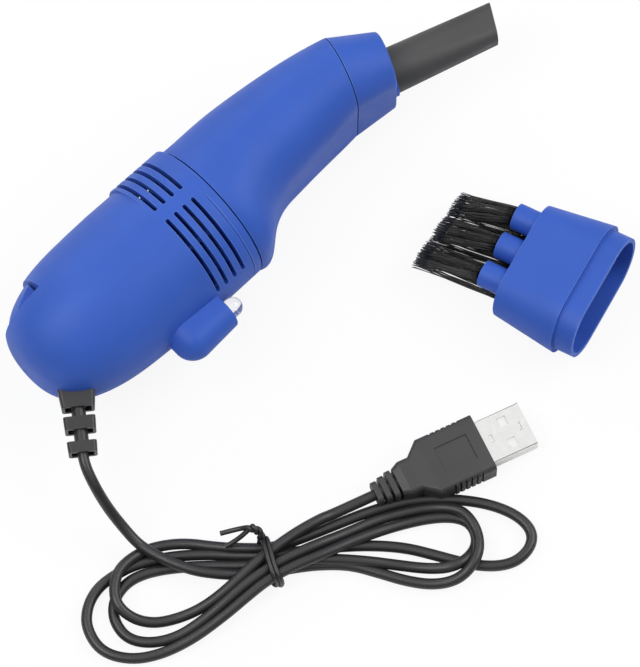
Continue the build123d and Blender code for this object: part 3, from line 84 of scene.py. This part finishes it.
CORD_DIAMETER = 2.8
CORD_ROUTE = (
    # from the gland down to the hank
    (-80.6, 8.8, 19.60),
    (-82.1, 6.8, 19.60),
    (-83.6, 1.3, 16.50),
    (-83.9, -3.5, 11.00),
    (-83.7, -8.3, 7.00),
    (-83.5, -13.5, 4.40),
    (-82.5, -17.9, 4.10),
    (-80.6, -23.2, 4.10),
    (-77.8, -28.7, 4.10),
    (-73.6, -33.6, 3.60),
    (-69.0, -37.8, 2.70),
    # waist, pass 1
    (-64.6, -41.1, 2.43),
    # right loop 1
    (-58.6, -44.6, 2.00),
    (-53.0, -48.5, 1.42),
    (-47.7, -53.7, 1.42),
    (-43.9, -60.3, 1.42),
    (-40.7, -66.0, 1.42),
    (-36.7, -71.2, 1.50),
    (-32.1, -74.6, 2.60),
    (-27.6, -75.3, 4.40),
    (-23.0, -73.7, 4.80),
    (-19.8, -70.2, 4.00),
    (-18.3, -65.8, 3.90),
    (-18.5, -61.4, 3.00),
    (-22.3, -56.7, 1.60),
    (-27.8, -53.1, 1.60),
    (-35.3, -49.4, 1.90),
    (-43.8, -47.0, 3.40),
    (-51.0, -44.8, 5.40),
    (-58.2, -42.4, 5.63),
    # waist, pass 2
    (-64.4, -40.9, 5.63),
    # left loop 1
    (-71.0, -40.0, 5.40),
    (-79.0, -39.8, 4.40),
    (-86.5, -39.1, 2.80),
    (-92.9, -37.6, 1.70),
    (-98.5, -34.1, 1.42),
    (-101.6, -29.5, 1.42),
    (-101.1, -24.4, 1.42),
    (-98.5, -20.7, 1.42),
    (-94.4, -18.8, 1.42),
    (-89.3, -18.9, 1.42),
    (-83.0, -22.0, 1.42),
    (-75.5, -27.9, 1.42),
    (-68.3, -34.9, 1.90),
    # waist, pass 3
    (-63.0, -39.4, 2.43),
    # right loop 2
    (-56.9, -43.8, 3.20),
    (-51.0, -49.2, 3.40),
    (-44.7, -55.6, 2.60),
    (-39.7, -61.2, 1.50),
    (-34.7, -67.5, 1.90),
    (-30.7, -71.7, 4.00),
    (-25.9, -72.8, 3.60),
    (-21.3, -71.3, 1.50),
    (-18.9, -68.1, 1.42),
    (-18.9, -64.1, 1.42),
    (-22.7, -59.7, 1.42),
    (-29.8, -55.2, 1.60),
    (-40.2, -50.9, 3.40),
    (-52.1, -47.5, 5.63),
    (-59.2, -44.9, 5.63),
    # waist, pass 4
    (-66.4, -43.1, 5.63),
    # left loop 2
    (-73.2, -42.7, 5.40),
    (-80.6, -42.3, 4.40),
    (-90.2, -40.9, 2.50),
    (-98.5, -38.1, 1.42),
    (-104.8, -34.0, 1.42),
    (-108.7, -27.5, 1.42),
    (-107.2, -20.4, 1.42),
    (-103.3, -16.5, 1.42),
    (-98.3, -14.7, 1.42),
    (-93.1, -15.0, 1.42),
    (-87.1, -16.5, 1.42),
    (-79.7, -20.7, 1.42),
    (-72.5, -26.5, 1.42),
    (-66.5, -32.9, 1.90),
    # waist, pass 5
    (-61.6, -37.9, 2.43),
    # right loop 3
    (-55.3, -42.1, 2.43),
    (-47.6, -47.5, 2.00),
    (-40.9, -53.0, 1.42),
    (-35.0, -59.3, 1.42),
    (-30.9, -65.8, 1.42),
    (-27.5, -71.6, 1.42),
    (-24.2, -76.1, 1.42),
    (-20.5, -79.5, 1.42),
    (-16.4, -81.3, 1.42),
    (-11.5, -80.8, 1.42),
    (-8.5, -77.8, 1.42),
    (-8.6, -72.2, 1.42),
    (-11.6, -65.5, 1.42),
    (-17.3, -58.4, 1.50),
    (-24.9, -51.5, 1.70),
    (-34.3, -46.8, 2.00),
    (-45.0, -42.9, 2.30),
    (-54.0, -39.6, 2.43),
    # waist, pass 6
    (-60.4, -36.6, 3.20),
    # left loop 3
    (-64.7, -32.5, 3.20),
    (-68.9, -27.8, 2.20),
    (-74.3, -20.7, 1.42),
    (-80.7, -16.2, 1.42),
    (-86.4, -15.1, 3.20),
    (-91.6, -15.4, 4.10),
    (-95.5, -17.9, 4.10),
    (-98.1, -21.8, 4.00),
    (-97.4, -26.7, 2.60),
    (-94.3, -31.0, 1.60),
    (-89.1, -34.2, 1.60),
    (-83.0, -36.7, 2.80),
    (-75.8, -37.8, 4.50),
    (-67.5, -37.7, 5.63),
    # strand to the plug
    (-60.7, -38.1, 5.90),
    (-53.2, -38.8, 5.40),
    (-46.0, -40.3, 5.00),
    (-42.9, -41.2, 4.00),
    (-36.3, -43.3, 4.00),
    (-31.5, -44.8, 4.00),
)

# Round cords and wires along smooth splines

SPLINE_ORDER = 3
SPLINE_STEPS = 6
CORD_ROUNDNESS = 5
TIE_ROUNDNESS = 4


def new_curve(name, depth, roundness):
    """An empty round curve with closed ends."""
    data = bpy.data.curves.new(name, "CURVE")
    data.dimensions = "3D"
    data.bevel_depth = depth
    data.bevel_resolution = roundness
    data.resolution_u = SPLINE_STEPS
    data.use_fill_caps = True
    return data


def add_spline(data, points, closed=False, radius=1.0):
    """A smooth spline with these control points, in millimetres; its radius scales the depth."""
    spline = data.splines.new("NURBS")
    spline.points.add(len(points) - 1)
    for target, point in zip(spline.points, points):
        target.co = (*metres(point), 1.0)
        target.radius = radius
    spline.order_u = SPLINE_ORDER
    spline.use_cyclic_u = closed
    spline.use_endpoint_u = not closed


def tube_mesh(name, runs, material):
    """Round wires as one mesh; a run is its points, whether it closes, and its radius in millimetres."""
    data = new_curve(name, MM, TIE_ROUNDNESS)
    for run in runs:
        add_spline(data, *run)
    shape = bpy.data.objects.new(name + "_line", data)
    mesh = bpy.data.meshes.new_from_object(shape)
    mesh.name = name
    mesh.materials.clear()
    mesh.materials.append(material)
    mesh.shade_smooth()
    bpy.data.objects.remove(shape)
    bpy.data.curves.remove(data)
    return add_object(name, mesh)


# Materials: object coordinates are the shared frame in metres, so noise scales are per metre

NOISE_LOW = 0.3
NOISE_HIGH = 0.7
SHADE_SCALE = 60.0
GLOSS_SCALE = 140.0
GRAIN_DEPTH = 0.0001
MARK_SCALE = 900.0
MARK_DEPTH = 0.00005
MARK_RELIEF = 0.05
EDGE_SAMPLES = 4
EDGE_AGREES = 0.985
EDGE_TURNS = 0.80


def new_material(name, base, roughness, **sockets):
    """A plain shader, its colour and the sockets that are the same all over."""
    material = bpy.data.materials.new(name)
    material.use_nodes = True
    shader = material.node_tree.nodes["Principled BSDF"]
    shader.inputs["Base Color"].default_value = (*base, 1.0)
    shader.inputs["Roughness"].default_value = roughness
    for socket, value in sockets.items():
        shader.inputs[socket.replace("_", " ")].default_value = value
    return material, material.node_tree, shader


def noise(tree, scale, detail, stretch=None):
    """Noise over the object's own coordinates, stretched along an axis where asked."""
    coordinates = tree.nodes.new("ShaderNodeTexCoord")
    texture = tree.nodes.new("ShaderNodeTexNoise")
    texture.inputs["Scale"].default_value = scale
    texture.inputs["Detail"].default_value = detail
    if stretch is None:
        tree.links.new(coordinates.outputs["Object"], texture.inputs["Vector"])
    else:
        mapping = tree.nodes.new("ShaderNodeMapping")
        mapping.inputs["Scale"].default_value = stretch
        tree.links.new(coordinates.outputs["Object"], mapping.inputs["Vector"])
        tree.links.new(mapping.outputs["Vector"], texture.inputs["Vector"])
    return texture


def vary_colour(tree, shader, texture, dark, light):
    """Colour that drifts between two shades over the noise."""
    ramp = tree.nodes.new("ShaderNodeValToRGB")
    ramp.color_ramp.elements[0].position = NOISE_LOW
    ramp.color_ramp.elements[1].position = NOISE_HIGH
    ramp.color_ramp.elements[0].color = (*dark, 1.0)
    ramp.color_ramp.elements[1].color = (*light, 1.0)
    tree.links.new(texture.outputs["Fac"], ramp.inputs["Fac"])
    tree.links.new(ramp.outputs["Color"], shader.inputs["Base Color"])


def vary_roughness(tree, shader, texture, low, high):
    """Roughness that drifts between two values over the noise."""
    span = tree.nodes.new("ShaderNodeMapRange")
    span.inputs["From Min"].default_value = NOISE_LOW
    span.inputs["From Max"].default_value = NOISE_HIGH
    span.inputs["To Min"].default_value = low
    span.inputs["To Max"].default_value = high
    tree.links.new(texture.outputs["Fac"], span.inputs["Value"])
    tree.links.new(span.outputs["Result"], shader.inputs["Roughness"])


def paint_edge_highlight(tree, shader, tint, reach, share):
    """A painted highlight: a paler line of colour along sharp edges, standing in for the light the edges
    catch.
    """
    bevel = tree.nodes.new("ShaderNodeBevel")
    bevel.samples = EDGE_SAMPLES
    bevel.inputs["Radius"].default_value = reach
    surface = tree.nodes.new("ShaderNodeNewGeometry")
    agree = tree.nodes.new("ShaderNodeVectorMath")
    agree.operation = "DOT_PRODUCT"
    edge = tree.nodes.new("ShaderNodeMapRange")
    edge.inputs["From Min"].default_value = EDGE_AGREES
    edge.inputs["From Max"].default_value = EDGE_TURNS
    edge.inputs["To Max"].default_value = share
    blend = tree.nodes.new("ShaderNodeMix")
    blend.data_type = "RGBA"
    blend.inputs["B"].default_value = (*tint, 1.0)
    tree.links.new(bevel.outputs["Normal"], agree.inputs[0])
    tree.links.new(surface.outputs["Normal"], agree.inputs[1])
    tree.links.new(agree.outputs["Value"], edge.inputs["Value"])
    tree.links.new(edge.outputs["Result"], blend.inputs["Factor"])
    tree.links.new(shader.inputs["Base Color"].links[0].from_socket, blend.inputs["A"])
    tree.links.new(blend.outputs["Result"], shader.inputs["Base Color"])


def add_bump(tree, shader, texture, strength, depth):
    """Fine relief from the noise."""
    bump = tree.nodes.new("ShaderNodeBump")
    bump.inputs["Strength"].default_value = strength
    bump.inputs["Distance"].default_value = depth
    tree.links.new(texture.outputs["Fac"], bump.inputs["Height"])
    tree.links.new(bump.outputs["Normal"], shader.inputs["Normal"])


def moulded(name, base, roughness, grain=1600.0, relief=0.12, drift=0.12, **sockets):
    """Moulded plastic or rubber: a fine grain, and slow drifts of shade and gloss."""
    material, tree, shader = new_material(name, base, roughness, **sockets)
    dark = tuple(channel * (1.0 - drift) for channel in base)
    light = tuple(min(channel * (1.0 + drift), 1.0) for channel in base)
    vary_colour(tree, shader, noise(tree, SHADE_SCALE, 4.0), dark, light)
    vary_roughness(tree, shader, noise(tree, GLOSS_SCALE, 3.0), roughness * 0.88, roughness * 1.14)
    add_bump(tree, shader, noise(tree, grain, 2.0), relief, GRAIN_DEPTH)
    return material


def metal(name, base, roughness, stretch):
    """Drawn or stamped metal with fine marks along one way."""
    material, tree, shader = new_material(name, base, roughness, Metallic=1.0)
    marks = noise(tree, MARK_SCALE, 3.0, stretch)
    vary_roughness(tree, shader, marks, roughness * 0.75, roughness * 1.35)
    add_bump(tree, shader, marks, MARK_RELIEF, MARK_DEPTH)
    return material


BLUE = (0.034, 0.106, 0.50)
# Painted highlight along the blue plastic's edges: its paler colour, how far in from the edge it reaches,
# and how much of it is mixed in
BLUE_EDGE_HIGHLIGHT = (0.13, 0.27, 0.72)
BLUE_HIGHLIGHT_REACH = 0.0004
BLUE_HIGHLIGHT_SHARE = 0.7
GREY_RUBBER = (0.050, 0.050, 0.051)
BLACK_RUBBER = (0.021, 0.021, 0.022)
PLUG_RUBBER = (0.036, 0.036, 0.037)
BLACK_PLASTIC = (0.018, 0.018, 0.019)
WHITE_PLASTIC = (0.80, 0.80, 0.79)
BRISTLE = (0.012, 0.012, 0.013)
FILTER = (0.78, 0.78, 0.75)
FERRITE = (0.06, 0.06, 0.06)
WINDING = (0.32, 0.12, 0.04)
PLUG_METAL = (0.78, 0.78, 0.77)
STEEL = (0.58, 0.58, 0.60)
CONTACT = (0.85, 0.64, 0.30)
TIN = (0.76, 0.76, 0.76)
LAMP = (0.97, 0.98, 1.0)

blue_plastic = moulded(
    "blue_plastic", BLUE, 0.50, grain=1900.0, relief=0.10, drift=0.05, Specular_IOR_Level=0.30
)
# Paint a highlight into the blue plastic's colour along its sharp edges
paint_edge_highlight(
    blue_plastic.node_tree,
    blue_plastic.node_tree.nodes["Principled BSDF"],
    BLUE_EDGE_HIGHLIGHT,
    BLUE_HIGHLIGHT_REACH,
    BLUE_HIGHLIGHT_SHARE,
)
grey_rubber = moulded("grey_rubber", GREY_RUBBER, 0.55, grain=1400.0, relief=0.16, drift=0.10)
black_rubber = moulded("black_rubber", BLACK_RUBBER, 0.37, grain=1500.0, relief=0.14, drift=0.15)
plug_rubber = moulded("plug_rubber", PLUG_RUBBER, 0.46, grain=1700.0, relief=0.20, drift=0.12)
black_plastic = moulded("black_plastic", BLACK_PLASTIC, 0.34, grain=1200.0, relief=0.08)
white_plastic = moulded("white_plastic", WHITE_PLASTIC, 0.40, grain=1200.0, relief=0.06, drift=0.03)
bristle_nylon = moulded("bristle_nylon", BRISTLE, 0.24, grain=900.0, relief=0.04, drift=0.3)
filter_weave = moulded("filter_weave", FILTER, 0.85, grain=1100.0, relief=0.8, drift=0.1)
magnet_ferrite = moulded("magnet_ferrite", FERRITE, 0.7, grain=900.0, relief=0.4)
armature_wound = moulded("armature_wound", WINDING, 0.38, grain=700.0, relief=0.5, drift=0.3)
plug_metal = metal("plug_metal", PLUG_METAL, 0.20, (1.0, 1.0, 1.0))
steel = metal("steel", STEEL, 0.28, (1.0, 1.0, 6.0))
contact_metal = metal("contact_metal", CONTACT, 0.22, (1.0, 5.0, 1.0))
tinned_wire = metal("tinned_wire", TIN, 0.25, (5.0, 1.0, 1.0))

lamp_clear, lamp_tree, lamp_shader = new_material(
    "lamp_clear", LAMP, 0.04, Transmission_Weight=0.92, IOR=1.50
)
add_bump(lamp_tree, lamp_shader, noise(lamp_tree, 500.0, 1.0), 0.03, GRAIN_DEPTH)

NODE_MATERIALS = {
    "rear_shell_left": blue_plastic,
    "rear_shell_right": blue_plastic,
    "front_shell": blue_plastic,
    "nozzle_collar": blue_plastic,
    "power_slider": blue_plastic,
    "fan_cover": blue_plastic,
    "filter_frame": blue_plastic,
    "brush_head": blue_plastic,
    "crevice_nozzle": grey_rubber,
    "cord_gland": black_rubber,
    "plug_grip": plug_rubber,
    "plug_shell": plug_metal,
    "plug_tongue": white_plastic,
    "plug_contacts": contact_metal,
    "lamp_led": lamp_clear,
    "lamp_leads": tinned_wire,
    "shell_screws": steel,
    "slide_switch": black_plastic,
    "motor_can": steel,
    "motor_end_cap": black_plastic,
    "motor_magnets": magnet_ferrite,
    "motor_armature": armature_wound,
    "motor_shaft": steel,
    "impeller": blue_plastic,
    "filter_cloth": filter_weave,
}
for node_name, node_material in NODE_MATERIALS.items():
    node_data = nodes[node_name].data
    node_data.materials.clear()
    node_data.materials.append(node_material)

# Twist tie, in millimetres: two turns round the waist of the hank, the ends twisted together and bent over

TIE_RADIUS = 0.64
TIE_TWIN = (0.85, -0.8, 0.0)
TIE_RING = (
    (-60.3, -34.4, 6.6),
    (-61.6, -36.7, 8.0),
    (-63.6, -40.3, 8.1),
    (-65.0, -43.4, 7.8),
    (-65.1, -44.8, 6.6),
    (-65.1, -45.2, 3.6),
    (-65.2, -44.4, 0.9),
    (-64.9, -41.8, 0.7),
    (-63.0, -37.9, 0.7),
    (-61.6, -35.0, 1.0),
    (-61.0, -34.0, 3.2),
    (-60.6, -34.0, 6.0),
)
TIE_TWIST = ((-60.4, -34.3, 6.9), (-60.3, -33.3, 9.0), (-60.7, -32.1, 10.0), (-61.5, -31.0, 9.6))
TIE_TAILS = (
    ((-63.1, -29.4, 8.8), (-65.2, -28.0, 8.2), (-67.4, -26.7, 7.8)),
    ((-63.5, -30.9, 8.0), (-65.8, -30.4, 6.6), (-68.2, -29.6, 5.6)),
)
TIE_TURNS = 1.5
TIE_STEPS = 16
TIE_TWIST_SHARE = 0.85


def tie_strand(phase, tail):
    """One end of the tie, in millimetres: round the other end, then off to its own side."""
    knots = [Vector(point) for point in TIE_TWIST]
    points = []
    for step in range(TIE_STEPS + 1):
        place = step / TIE_STEPS * (len(knots) - 1)
        index = min(int(place), len(knots) - 2)
        run = knots[index + 1] - knots[index]
        aside = run.cross(Vector((1.0, 1.0, 0.0))).normalized()
        above = run.cross(aside).normalized()
        turn = phase + 2 * pi * TIE_TURNS * step / TIE_STEPS
        offset = (aside * cos(turn) + above * sin(turn)) * TIE_RADIUS * TIE_TWIST_SHARE
        points.append(knots[index] + run * (place - index) + offset)
    return points + [Vector(point) for point in tail]


tie_twin = [Vector(point) + Vector(TIE_TWIN) for point in TIE_RING]
tie_runs = [(TIE_RING, True, TIE_RADIUS), (tie_twin, True, TIE_RADIUS)]
for strand_number, tail in enumerate(TIE_TAILS):
    tie_runs.append((tie_strand(strand_number * pi, tail), False, TIE_RADIUS))
tie = tube_mesh("twist_tie", tie_runs, black_plastic)
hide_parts("cord_tie")
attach(tie, "housing")

# The cord itself

cord_data = new_curve("cord", CORD_DIAMETER / 2 * MM, CORD_ROUNDNESS)
add_spline(cord_data, CORD_ROUTE)
cord_data.materials.append(black_rubber)
cord = add_object("cord", cord_data)
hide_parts("cord_lead", "cord_hank")
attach(cord, "housing")

# Bristles, in millimetres and degrees: each tuft fans out of its boss, cut to one slanting line

BRUSH_RIM = (43.3, -42.7)
BRUSH_HEADING = -72.1
BRUSH_LEAN = 6.89
BRUSH_RIM_HEIGHT = 10.08
BRUSH_DEPTH = 17.8
TUFT_PITCH = 8.8
TUFT_ROWS = 7.4
UPPER_BOSS = 6.2
LOWER_BOSS = 1.0
TUFT_RADIUS = 2.4
TUFT_SUNK = 0.4
UPPER_TIP = 22.9
LOWER_TIP = 24.2
TIP_SLANT = 0.067
TIP_SHIFT = -2.5
TIP_PITCH = 7.5
TIP_SPREAD = 0.57
TIP_UNEVEN = 0.15
UPPER_ROW_LIFT = -1.7
LOWER_ROW_LIFT = 2.0
UPPER_STRANDS = 120
LOWER_STRANDS = 80
STRAND_RADIUS = 0.125
STRAND_TAPER = 0.35
STRAND_SIDES = 4
STRAND_STEPS = 5
STRAND_BEND = (0.95, 1.5)
SCATTER_WIDE = 0.30
SCATTER_HIGH = 0.2
SCATTER_FOOT = 0.15
CLUMP_WIDTH = 1.8
CLUMP_PULL = 0.85
FIRST_SEED = 700

heading = radians(BRUSH_HEADING)
lean = radians(BRUSH_LEAN)
brush_out = Vector((cos(heading) * cos(lean), sin(heading) * cos(lean), sin(lean)))
brush_wide = Vector((-sin(heading), cos(heading), 0.0))
brush_up = brush_out.cross(brush_wide)
brush_rim = Vector((*BRUSH_RIM, BRUSH_RIM_HEIGHT))


def strand_points(draw, foot_x, foot_y, place, row_y, boss, tip, lift):
    """Points along one bristle, in millimetres: out of its boss and over to its place in the fan."""
    root_x = place * TUFT_PITCH + foot_x
    fan_x = TIP_SHIFT + place * (TIP_PITCH - TUFT_PITCH) + foot_x * TIP_SPREAD
    spread_x = fan_x + draw.gauss(0.0, SCATTER_WIDE)
    spread_y = lift + foot_y * draw.uniform(-SCATTER_FOOT, SCATTER_FOOT) + draw.gauss(0.0, SCATTER_HIGH)
    bend = draw.uniform(*STRAND_BEND)
    gather = CLUMP_PULL * (round(foot_x / CLUMP_WIDTH) * CLUMP_WIDTH - foot_x)
    length = tip - TIP_SLANT * root_x - boss - draw.uniform(0.0, TIP_UNEVEN)
    points = []
    for step in range(STRAND_STEPS + 1):
        share = step / STRAND_STEPS
        aside = share ** bend
        along = -BRUSH_DEPTH - boss + TUFT_SUNK - (length + TUFT_SUNK) * share
        points.append(
            brush_rim
            + brush_out * along
            + brush_wide * (root_x + spread_x * aside + gather * sin(pi * share))
            + brush_up * (row_y + foot_y + spread_y * aside)
        )
    return points


def tuft_mesh(name, place, row_y, boss, tip, lift, strands, draw):
    """One tuft as a mesh of thin closed strands."""
    vertices, faces = [], []
    golden = pi * (3.0 - sqrt(5.0))
    for index in range(strands):
        radius = TUFT_RADIUS * sqrt((index + 0.5) / strands)
        foot_x = radius * cos(index * golden)
        foot_y = radius * sin(index * golden)
        points = strand_points(draw, foot_x, foot_y, place, row_y, boss, tip, lift)
        first = len(vertices)
        for step, point in enumerate(points):
            thick = STRAND_RADIUS * (1.0 - STRAND_TAPER * step / STRAND_STEPS)
            for side in range(STRAND_SIDES):
                turn = 2 * pi * side / STRAND_SIDES
                offset = brush_wide * (cos(turn) * thick) + brush_up * (sin(turn) * thick)
                vertices.append((point + offset) * MM)
        for step in range(STRAND_STEPS):
            for side in range(STRAND_SIDES):
                here = first + step * STRAND_SIDES + side
                beside = first + step * STRAND_SIDES + (side + 1) % STRAND_SIDES
                faces.append((here, here + STRAND_SIDES, beside + STRAND_SIDES, beside))
        faces.append(tuple(first + side for side in range(STRAND_SIDES)))
        last = first + STRAND_STEPS * STRAND_SIDES
        faces.append(tuple(last + side for side in reversed(range(STRAND_SIDES))))
    mesh = bpy.data.meshes.new(name)
    mesh.from_pydata(vertices, [], faces)
    mesh.materials.append(bristle_nylon)
    mesh.shade_smooth()
    return add_object(name, mesh)


TUFT_ROW_FORMS = (
    (TUFT_ROWS / 2, UPPER_BOSS, UPPER_TIP, UPPER_ROW_LIFT, UPPER_STRANDS),
    (-TUFT_ROWS / 2, LOWER_BOSS, LOWER_TIP, LOWER_ROW_LIFT, LOWER_STRANDS),
)
tuft_number = 0
for row_form in TUFT_ROW_FORMS:
    for place in (-1, 0, 1):
        tuft_number += 1
        draw = random.Random(FIRST_SEED + tuft_number)
        tuft = tuft_mesh(f"bristles_{tuft_number}", place, *row_form, draw)
        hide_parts(f"bristle_tuft_{tuft_number}")
        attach(tuft, "brush")

# Floor: a pale table, nearly white where it is seen straight or through the lamp

FLOOR_HALF = 3.0
FLOOR_Z = -0.0002
FLOOR_CORNERS = ((-1, -1), (1, -1), (1, 1), (-1, 1))
FLOOR_COLOUR = (0.93, 0.93, 0.93, 1.0)
FLOOR_ROUGHNESS = 0.8
FLOOR_WHITE = 0.90

floor_mesh = bpy.data.meshes.new("floor")
floor_mesh.from_pydata(
    [(x * FLOOR_HALF, y * FLOOR_HALF, FLOOR_Z) for x, y in FLOOR_CORNERS], [], [(0, 1, 2, 3)]
)
floor = add_object("floor", floor_mesh)

floor_material = bpy.data.materials.new("floor")
floor_material.use_nodes = True
floor_tree = floor_material.node_tree
floor_shader = floor_tree.nodes["Principled BSDF"]
floor_shader.inputs["Base Color"].default_value = FLOOR_COLOUR
floor_shader.inputs["Roughness"].default_value = FLOOR_ROUGHNESS
floor_glow = floor_tree.nodes.new("ShaderNodeEmission")
floor_glow.inputs["Color"].default_value = (1.0, 1.0, 1.0, 1.0)
floor_glow.inputs["Strength"].default_value = 1.0
floor_mix = floor_tree.nodes.new("ShaderNodeMixShader")
light_path = floor_tree.nodes.new("ShaderNodeLightPath")
seen_any = floor_tree.nodes.new("ShaderNodeMath")
seen_any.operation = "MAXIMUM"
whiten = floor_tree.nodes.new("ShaderNodeMath")
whiten.operation = "MULTIPLY"
whiten.inputs[1].default_value = FLOOR_WHITE
floor_tree.links.new(light_path.outputs["Is Camera Ray"], seen_any.inputs[0])
floor_tree.links.new(light_path.outputs["Is Transmission Ray"], seen_any.inputs[1])
floor_tree.links.new(seen_any.outputs["Value"], whiten.inputs[0])
floor_tree.links.new(whiten.outputs["Value"], floor_mix.inputs["Fac"])
floor_tree.links.new(floor_shader.outputs["BSDF"], floor_mix.inputs[1])
floor_tree.links.new(floor_glow.outputs["Emission"], floor_mix.inputs[2])
floor_tree.links.new(floor_mix.outputs["Shader"], floor_tree.nodes["Material Output"].inputs["Surface"])
floor_mesh.materials.append(floor_material)

# Light: three soft square lamps, each with its place and side in metres and its power in watts

LIGHT_AIM = (0.0, 0.0, 0.02)
LIGHTS = (
    ("key_light", (-0.55, 0.25, 1.05), 0.7, 6.0),
    ("fill_light", (0.75, -0.35, 0.85), 0.9, 7.0),
    ("back_light", (0.15, 0.95, 0.55), 0.7, 2.6),
)
for light_name, light_place, light_size, light_power in LIGHTS:
    light_data = bpy.data.lights.new(light_name, "AREA")
    light_data.shape = "SQUARE"
    light_data.size = light_size
    light_data.energy = light_power
    light = add_object(light_name, light_data)
    light.location = light_place
    light.rotation_euler = (Vector(light_place) - Vector(LIGHT_AIM)).to_track_quat("Z", "Y").to_euler()

# World: lights as a soft room; mirrors see it bright overhead and dim low down, and the camera sees white

WORLD_LEVEL = 0.36
WORLD_LOW = 0.12
WORLD_HIGH = 1.0
WORLD_RISE_FROM = 0.25
WORLD_RISE_TO = 0.90
WORLD_SEEN = 1.0

world = bpy.data.worlds.new("world")
scene.world = world
world.use_nodes = True
world_tree = world.node_tree
background = world_tree.nodes["Background"]
background.inputs["Color"].default_value = (1.0, 1.0, 1.0, 1.0)
world_path = world_tree.nodes.new("ShaderNodeLightPath")
world_shiny = world_tree.nodes.new("ShaderNodeMath")
world_shiny.operation = "MAXIMUM"
world_way = world_tree.nodes.new("ShaderNodeTexCoord")
world_height = world_tree.nodes.new("ShaderNodeSeparateXYZ")
world_sky = world_tree.nodes.new("ShaderNodeMapRange")
world_sky.interpolation_type = "SMOOTHSTEP"
world_sky.inputs["From Min"].default_value = WORLD_RISE_FROM
world_sky.inputs["From Max"].default_value = WORLD_RISE_TO
world_sky.inputs["To Min"].default_value = WORLD_LOW
world_sky.inputs["To Max"].default_value = WORLD_HIGH
world_lit = world_tree.nodes.new("ShaderNodeMix")
world_lit.inputs["A"].default_value = WORLD_LEVEL
world_all = world_tree.nodes.new("ShaderNodeMix")
world_all.inputs["B"].default_value = WORLD_SEEN
world_tree.links.new(world_way.outputs["Generated"], world_height.inputs["Vector"])
world_tree.links.new(world_height.outputs["Z"], world_sky.inputs["Value"])
world_tree.links.new(world_path.outputs["Is Glossy Ray"], world_shiny.inputs[0])
world_tree.links.new(world_path.outputs["Is Transmission Ray"], world_shiny.inputs[1])
world_tree.links.new(world_shiny.outputs["Value"], world_lit.inputs["Factor"])
world_tree.links.new(world_sky.outputs["Result"], world_lit.inputs["B"])
world_tree.links.new(world_path.outputs["Is Camera Ray"], world_all.inputs["Factor"])
world_tree.links.new(world_lit.outputs["Result"], world_all.inputs["A"])
world_tree.links.new(world_all.outputs["Result"], background.inputs["Strength"])

scene.view_settings.view_transform = "Standard"
